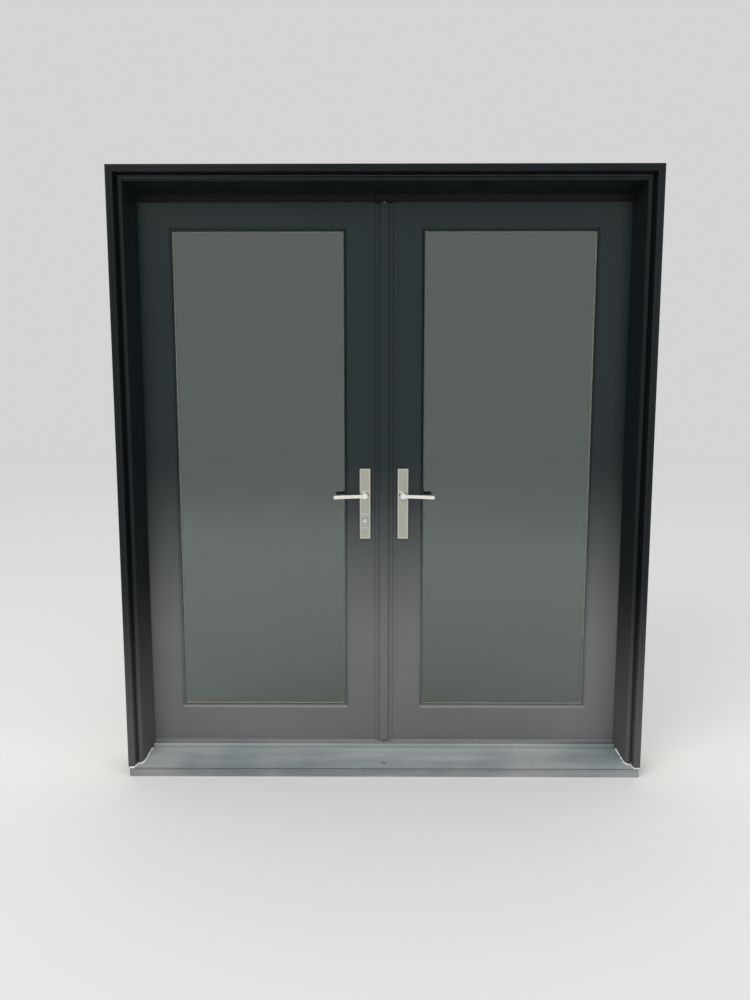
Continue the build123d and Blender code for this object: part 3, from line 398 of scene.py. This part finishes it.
# Blacker than rubber's own colour: painted shade for the strips under the head; all strips take it.
black_rubber = speckled("black_rubber", (0.004, 0.004, 0.0045), (0.014, 0.014, 0.013), 0.6)
shader_of(black_rubber).inputs["Specular IOR Level"].default_value = 0.2
grey_sweep = speckled("grey_sweep", (0.24, 0.245, 0.25), (0.33, 0.33, 0.33), 0.5)
spacer_finish = speckled("pale_spacer", (0.90, 0.87, 0.75), (0.78, 0.75, 0.63), 0.45)
white_sealant = speckled("white_sealant", (0.88, 0.88, 0.86), (0.62, 0.60, 0.56), 0.4, 90)
print("plain finishes ready")

# %% [markdown]
# ## Metals
# The handles are satin nickel: a warm, pale metal brushed along the length of each piece. Brushing is a
# fine noise drawn out along the strokes, in the roughness and in a very shallow bump. On the plates the
# raised rims are polished brighter than the sunk fields, so the plate's colour follows the depth of the
# surface. Locks and bolts are zinc plated steel.

# %% Brushed metals
def brushed(name, colour, dull, roughness, stretch):
    material = new_finish(name, colour, roughness, metallic=1.0)
    strokes = noise(material, 600, stretch, 3)
    stains = remap(material, noise(material, 30, (1, 1, 1), 5), 0.45, 0.75, 0, 0.5)
    set_colour(material, blend_colours(material, stains, colour, dull))
    set_roughness(material, remap(material, strokes, 0.25, 0.75, roughness - 0.05, roughness + 0.1))
    set_bump(material, strokes, 0.2, 0.00005, edge=0.0006)
    return material


lever_nickel = brushed("lever_nickel", (0.98, 0.97, 0.91), (0.90, 0.88, 0.80), 0.28, (0.04, 1, 1))
hinge_nickel = brushed("hinge_nickel", (0.62, 0.60, 0.55), (0.50, 0.48, 0.43), 0.32, (1, 1, 0.04))
zinc_steel = brushed("zinc_steel", (0.56, 0.57, 0.58), (0.42, 0.43, 0.44), 0.36, (1, 1, 0.1))
cylinder_nickel = brushed("cylinder_nickel", (0.80, 0.79, 0.75), (0.66, 0.65, 0.60), 0.2, (1, 0.1, 1))
collar_height = 0.0035


def plate_metal():
    material = brushed("plate_nickel", (0.485, 0.48, 0.42), (0.42, 0.415, 0.36), 0.36, (1, 1, 0.04))
    # Plates stand off both faces of the leaf, so the depth is measured from the middle between them.
    front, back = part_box("active_outside_plate")[0].y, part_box("active_inside_plate")[1].y
    middle = (front + back) / 2
    rim = back - collar_height - middle
    from_middle = combine(material, "SUBTRACT", position(material, "Y"), middle)
    off_middle = combine(material, "ABSOLUTE", from_middle, 0)
    raised = remap(material, off_middle, rim - 0.0006, rim - 0.0002, 0, 1)
    base = shader_of(material).inputs["Base Color"].links[0].from_socket
    set_colour(material, blend_colours(material, raised, base, (0.62, 0.61, 0.55)))
    print("rims are", round(rim * 1000, 2), "mm from the middle of the leaf")
    return material


plate_nickel = plate_metal()

# %% [markdown]
# ## Finishes on the CAD nodes
# Each node keeps its mesh. Only the material in its slot is exchanged, by the name of the piece.

# %% Assign the finishes
finish_of = {}


def dress(material, *names):
    for name in names:
        finish_of[name] = material


for leaf in ("active", "passive"):
    dress(dark_paint, f"{leaf}_cladding")
    dress(upright_pine, f"{leaf}_hinge_stile", f"{leaf}_meeting_stile", f"{leaf}_glazing_stops")
    dress(level_pine, f"{leaf}_top_rail", f"{leaf}_bottom_rail")
    dress(glass_finish, f"{leaf}_glass")
    dress(spacer_finish, f"{leaf}_glass_spacer")
    dress(dark_paint, f"{leaf}_glazing_gasket")
    dress(grey_sweep, f"{leaf}_bottom_sweep")
    dress(hinge_nickel, f"{leaf}_hinge_plates")
    dress(plate_nickel, f"{leaf}_outside_plate", f"{leaf}_inside_plate")
    dress(lever_nickel, f"{leaf}_outside_lever", f"{leaf}_inside_lever")
    dress(zinc_steel, f"{leaf}_spindle")
dress(dark_paint, "astragal")
dress(casing_paint, "left_casing", "right_casing", "head_casing")
dress(upright_pine, "left_jamb", "right_jamb")
dress(level_pine, "head_jamb")
dress(sill_finish, "sill", "threshold")
dress(black_rubber, "head_weatherstrip", "jamb_weatherstrips", "astragal_pad")
dress(white_sealant, "sealant_beads")
dress(hinge_nickel, "frame_hinge_plates", "hinge_pins")
dress(zinc_steel, "head_strike", "sill_strike", "lock_case", "lock_faceplate", "latch_bolt", "deadbolt")
dress(zinc_steel, "gear_case", "top_bolt", "bottom_bolt", "edge_strike")
dress(cylinder_nickel, "key_cylinder", "cylinder_plug")
dress(lever_nickel, "thumb_turn")

for name, piece in nodes.items():
    for slot in piece.material_slots:
        slot.material = finish_of[name]
print("dressed", len(finish_of), "of", len(nodes), "nodes")

# %% [markdown]
# ## Screw heads
# Screws repeat, so one Geometry Nodes tree makes them all: a low cone with a cross cut out of it, set on
# every point of a small mesh, turned to face the way that the point says and spun by a random angle.
# Points and directions come from the CAD boxes of the plates that the screws hold.

# %% The tree for screw heads
def add_input(tree, name, kind, value):
    socket = tree.interface.new_socket(name, in_out="INPUT", socket_type=kind)
    socket.default_value = value


def new_tree(name):
    tree = bpy.data.node_groups.new(name, "GeometryNodeTree")
    tree.interface.new_socket("Geometry", in_out="INPUT", socket_type="NodeSocketGeometry")
    tree.interface.new_socket("Geometry", in_out="OUTPUT", socket_type="NodeSocketGeometry")
    return tree


def screw_tree(material):
    tree = new_tree("screw_heads")
    add_input(tree, "Head radius", "NodeSocketFloat", 0.004)
    add_input(tree, "Head height", "NodeSocketFloat", 0.0015)
    add_input(tree, "Seed", "NodeSocketInt", 3)
    new, join = tree.nodes.new, tree.links.new
    given, result = new("NodeGroupInput"), new("NodeGroupOutput")
    radius, height = given.outputs["Head radius"], given.outputs["Head height"]

    def times(socket, factor):
        product = new("ShaderNodeMath")
        product.operation = "MULTIPLY"
        join(socket, product.inputs[0])
        product.inputs[1].default_value = factor
        return product.outputs[0]

    head = new("GeometryNodeMeshCone")
    head.inputs["Vertices"].default_value = 20
    join(times(radius, 0.7), head.inputs["Radius Top"])
    join(radius, head.inputs["Radius Bottom"])
    join(height, head.inputs["Depth"])
    cross = new("GeometryNodeJoinGeometry")
    for wide, narrow in ((1.0, 0.2), (0.2, 1.0)):
        bar = new("GeometryNodeMeshCube")
        size = new("ShaderNodeCombineXYZ")
        join(times(radius, wide), size.inputs["X"])
        join(times(radius, narrow), size.inputs["Y"])
        join(height, size.inputs["Z"])
        join(size.outputs[0], bar.inputs["Size"])
        join(bar.outputs["Mesh"], cross.inputs[0])
    lift = new("ShaderNodeCombineXYZ")
    join(height, lift.inputs["Z"])
    raised = new("GeometryNodeTransform")
    join(cross.outputs[0], raised.inputs["Geometry"])
    join(lift.outputs[0], raised.inputs["Translation"])
    cut = new("GeometryNodeMeshBoolean")
    cut.operation = "DIFFERENCE"
    join(head.outputs["Mesh"], cut.inputs["Mesh 1"])
    join(raised.outputs["Geometry"], cut.inputs["Mesh 2"])
    way = new("GeometryNodeInputNamedAttribute")
    way.data_type = "FLOAT_VECTOR"
    way.inputs["Name"].default_value = "way"
    face = new("FunctionNodeAlignRotationToVector")
    join(way.outputs["Attribute"], face.inputs["Vector"])
    spin = new("FunctionNodeRandomValue")
    spin.inputs["Max"].default_value = math.pi
    join(given.outputs["Seed"], spin.inputs["Seed"])
    angle = new("FunctionNodeAxisAngleToRotation")
    angle.inputs["Axis"].default_value = (0, 0, 1)
    join(spin.outputs["Value"], angle.inputs["Angle"])
    turned = new("FunctionNodeRotateRotation")
    turned.rotation_space = "LOCAL"
    join(face.outputs["Rotation"], turned.inputs["Rotation"])
    join(angle.outputs["Rotation"], turned.inputs["Rotate By"])
    points = new("GeometryNodeMeshToPoints")
    place = new("GeometryNodeInstanceOnPoints")
    real = new("GeometryNodeRealizeInstances")
    colour = new("GeometryNodeSetMaterial")
    colour.inputs["Material"].default_value = material
    join(given.outputs["Geometry"], points.inputs["Mesh"])
    join(points.outputs["Points"], place.inputs["Points"])
    join(cut.outputs["Mesh"], place.inputs["Instance"])
    join(turned.outputs["Rotation"], place.inputs["Rotation"])
    join(place.outputs["Instances"], real.inputs["Geometry"])
    join(real.outputs["Geometry"], colour.inputs["Geometry"])
    join(colour.outputs["Geometry"], result.inputs["Geometry"])
    return tree


heads = screw_tree(zinc_steel)
print("screw tree nodes:", len(heads.nodes))

# %% [markdown]
# A tree runs as a modifier. Its inputs are set by their identifiers, the result is read back as a plain
# mesh, and the helper object goes away, so what is left is an ordinary piece that rides on its body.

# %% Run a tree and keep its mesh
def input_id(tree, name):
    return next(i.identifier for i in tree.interface.items_tree if i.name == name and i.in_out == "INPUT")


def grow(mesh, tree, values, name, body):
    carrier = bpy.data.objects.new(name + "_carrier", mesh)
    scene.collection.objects.link(carrier)
    modifier = carrier.modifiers.new("tree", "NODES")
    modifier.node_group = tree
    for key, value in values.items():
        modifier[input_id(tree, key)] = value
    evaluated = carrier.evaluated_get(bpy.context.evaluated_depsgraph_get())
    result = bpy.data.meshes.new_from_object(evaluated)
    bpy.data.objects.remove(carrier)
    result.name = name
    piece = bpy.data.objects.new(name, result)
    scene.collection.objects.link(piece)
    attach(piece, body)
    print(name, "faces:", len(result.polygons))
    return piece


def screw_points(places):
    """A mesh of loose points. Each place is a point and the way its screw faces."""
    mesh = bpy.data.meshes.new("screw_points")
    mesh.from_pydata([point for point, way in places], [], [])
    facing = mesh.attributes.new("way", "FLOAT_VECTOR", "POINT")
    for entry, (point, way) in zip(facing.data, places):
        entry.vector = way
    return mesh


# %% [markdown]
# Three screws hold the threshold's ridge down and show in the photograph. Those of the hinges, strikes
# and inside plates are where such parts have them, and only show when a leaf is open.

# %% Where the screws are
hinge_inset = 0.195
side_gap = 0.003
leaf_low, leaf_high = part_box("active_hinge_stile")
hinge_zs = [leaf_low.z + hinge_inset, (leaf_low.z + leaf_high.z) / 2, leaf_high.z - hinge_inset]
leaf_edge = abs(leaf_low.x)
rabbet = leaf_edge + side_gap
screw_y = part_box("frame_hinge_plates")[0].y + 0.010
inner_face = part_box("active_inside_plate")[1].y - collar_height
plate_low, plate_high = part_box("passive_inside_plate")
handle_x = (plate_low.x + plate_high.x) / 2


def hinge_screws(x, faces):
    return [
        ((x, screw_y + step, z + rise), (faces, 0, 0))
        for z in hinge_zs
        for rise, step in ((-0.038, 0.0), (-0.013, 0.012), (0.013, 0.012), (0.038, 0.0))
    ]


def plate_screws(x):
    low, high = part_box("active_inside_plate")
    face = inner_face - 0.0008
    return [((x, face, high.z - 0.012), (0, 1, 0)), ((x, face, low.z + 0.012), (0, 1, 0))]


def edge_screws(x, faces, node_name):
    low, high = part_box(node_name)
    middle = (leaf_low.y + leaf_high.y) / 2
    return [((x, middle, z), (faces, 0, 0)) for z in (high.z - 0.010, low.z + 0.010)]


ridge_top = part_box("threshold")[1].z - 0.0004
ridge_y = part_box("threshold")[0].y + 0.0055
ridge = [((x, ridge_y, ridge_top), (0, 0, 1)) for x in (-0.735, -0.096, 0.726)]
flush = {"Head radius": 0.0042, "Head height": 0.0006, "Seed": 5}
proud = {"Head radius": 0.0032, "Head height": 0.0016, "Seed": 8}

# %% Drive the screws
frame_places = hinge_screws(-rabbet, 1) + hinge_screws(rabbet, -1)
grow(screw_points(frame_places), heads, flush, "frame_hinge_screws", "frame")
grow(screw_points(ridge), heads, proud, "ridge_screws", "frame")
active_places = hinge_screws(-leaf_edge, -1) + edge_screws(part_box("lock_faceplate")[1].x, 1, "lock_faceplate")
grow(screw_points(active_places), heads, flush, "active_edge_screws", "active_leaf")
active_plate = screw_points(plate_screws(-handle_x))
grow(active_plate, heads, proud, "active_plate_screws", "active_leaf")
passive_places = hinge_screws(leaf_edge, 1) + edge_screws(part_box("edge_strike")[0].x, -1, "edge_strike")
grow(screw_points(passive_places), heads, flush, "passive_edge_screws", "passive_leaf")
passive_plate = screw_points(plate_screws(handle_x))
grow(passive_plate, heads, proud, "passive_plate_screws", "passive_leaf")

# %% [markdown]
# ## Sealant beads
# The installer ran a white bead by hand round the foot of each casing and back along the corner between
# reveal and sill. A hand-made bead swells and thins, so a second tree sweeps a small circle along the
# path and lets noise change its radius. It stands for the plain solids of the CAD.

# %% The tree for a bead
def bead_tree(material):
    tree = new_tree("hand_bead")
    add_input(tree, "Bead radius", "NodeSocketFloat", 0.002)
    add_input(tree, "Wobble", "NodeSocketFloat", 0.5)
    add_input(tree, "Step", "NodeSocketFloat", 0.0012)
    new, join = tree.nodes.new, tree.links.new
    given, result = new("NodeGroupInput"), new("NodeGroupOutput")
    curve = new("GeometryNodeMeshToCurve")
    even = new("GeometryNodeResampleCurve")
    even.mode = "LENGTH"
    waves = new("ShaderNodeTexNoise")
    waves.inputs["Scale"].default_value = 95
    swell = new("ShaderNodeMapRange")
    swell.inputs["From Min"].default_value = 0.3
    swell.inputs["From Max"].default_value = 0.7
    less, more = new("ShaderNodeMath"), new("ShaderNodeMath")
    less.operation, more.operation = "SUBTRACT", "ADD"
    less.inputs[0].default_value = more.inputs[0].default_value = 1
    thick = new("GeometryNodeSetCurveRadius")
    ring = new("GeometryNodeCurvePrimitiveCircle")
    ring.inputs["Resolution"].default_value = 10
    tube = new("GeometryNodeCurveToMesh")
    tube.inputs["Fill Caps"].default_value = True
    smooth = new("GeometryNodeSetShadeSmooth")
    colour = new("GeometryNodeSetMaterial")
    colour.inputs["Material"].default_value = material
    join(given.outputs["Geometry"], curve.inputs["Mesh"])
    join(curve.outputs["Curve"], even.inputs["Curve"])
    join(given.outputs["Step"], even.inputs["Length"])
    join(given.outputs["Wobble"], less.inputs[1])
    join(given.outputs["Wobble"], more.inputs[1])
    join(waves.outputs["Fac"], swell.inputs["Value"])
    join(less.outputs[0], swell.inputs["To Min"])
    join(more.outputs[0], swell.inputs["To Max"])
    join(even.outputs["Curve"], thick.inputs["Curve"])
    join(swell.outputs["Result"], thick.inputs["Radius"])
    join(given.outputs["Bead radius"], ring.inputs["Radius"])
    join(thick.outputs["Curve"], tube.inputs["Curve"])
    join(ring.outputs["Curve"], tube.inputs["Profile Curve"])
    join(swell.outputs["Result"], tube.inputs["Scale"])
    join(tube.outputs["Mesh"], smooth.inputs["Geometry"])
    join(smooth.outputs["Geometry"], colour.inputs["Geometry"])
    join(colour.outputs["Geometry"], result.inputs["Geometry"])
    return tree


beads = bead_tree(white_sealant)
print("bead tree nodes:", len(beads.nodes))

# %% [markdown]
# The path follows the casing's profile: over the flat band, back across the cove, round the bead moulding
# and then along the corner between the splayed reveal and the sill's slope.

# %% Lay the beads
sill_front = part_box("sill")[0].y
nose_top, slope_rise = 0.0275, 0.0345 / 0.094


def on_sill(side, from_edge, y):
    x = side * (cad_box[1][0] - from_edge)
    return (x, y, nose_top + slope_rise * (y - sill_front) + 0.0014)


profile = ((0.0050, -0.0006), (0.0150, -0.0014), (0.0215, -0.0008), (0.0262, 0.0070), (0.0300, 0.0150))
profile += ((0.0350, 0.0166), (0.0410, 0.0168), (0.0472, 0.0220), (0.0505, 0.0290), (0.0535, 0.0440))
profile += ((0.0562, 0.0600), (0.0590, 0.0740), (0.0608, 0.0868))
vertices, edges = [], []
for side in (-1, 1):
    start = len(vertices)
    vertices += [on_sill(side, from_edge, y) for from_edge, y in profile]
    edges += [(start + i, start + i + 1) for i in range(len(profile) - 1)]
path = bpy.data.meshes.new("bead_path")
path.from_pydata(vertices, edges, [])
hand_beads = grow(path, beads, {"Bead radius": 0.0026, "Wobble": 0.45}, "hand_beads", "frame")
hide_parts("sealant_beads")
